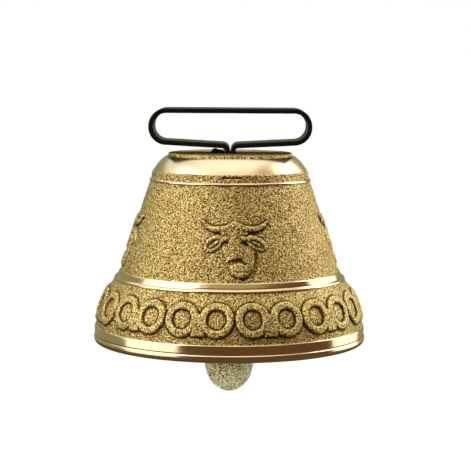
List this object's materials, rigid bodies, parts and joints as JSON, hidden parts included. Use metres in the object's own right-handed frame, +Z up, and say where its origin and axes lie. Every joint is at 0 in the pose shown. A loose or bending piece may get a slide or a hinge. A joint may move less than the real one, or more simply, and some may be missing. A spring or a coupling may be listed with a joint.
{
  "type": "cowbell",
  "caption": "Cast brass cowbell with a flaring skirt, relief heads and a ring frieze, hung from a black steel strap loop, with a free-swinging clapper.",
  "frame": {"origin": "middle of the underside of the strap loop's top bar, where the strap carries the bell", "axes": "+Z up along the bell's axis, the strap runs through the loop along Y, the loop's width is along X, and -Y is the front"},
  "size_m": [0.1132, 0.1132, 0.1188],
  "materials": {
    "cast_brass": "sand-cast and blasted between polished turned bands",
    "rough_brass": "rough as-cast, dull",
    "black_steel": "black lacquer, satin",
    "plain_steel": "plain bright steel, slightly dulled"
  },
  "bodies": {
    "bell": {"bell_shell": "cast_brass", "strap_loop": "black_steel", "neck_wedge": "black_steel", "crown_washer": "plain_steel", "hanger_pin": "plain_steel"},
    "link": {"clapper_link": "plain_steel"},
    "clapper": {"clapper_rod": "plain_steel", "clapper_ball": "rough_brass"}
  },
  "joints": [
    {"name": "link_swing", "type": "hinge", "parent": "bell", "child": "link", "pos_m": [0, 0, -0.032], "axis": [1, 0, 0], "range_deg": [-8, 8]},
    {"name": "clapper_swing", "type": "hinge", "parent": "link", "child": "clapper", "pos_m": [0, 0, -0.0435], "axis": [0, 1, 0], "range_deg": [-38, 38]}
  ]
}
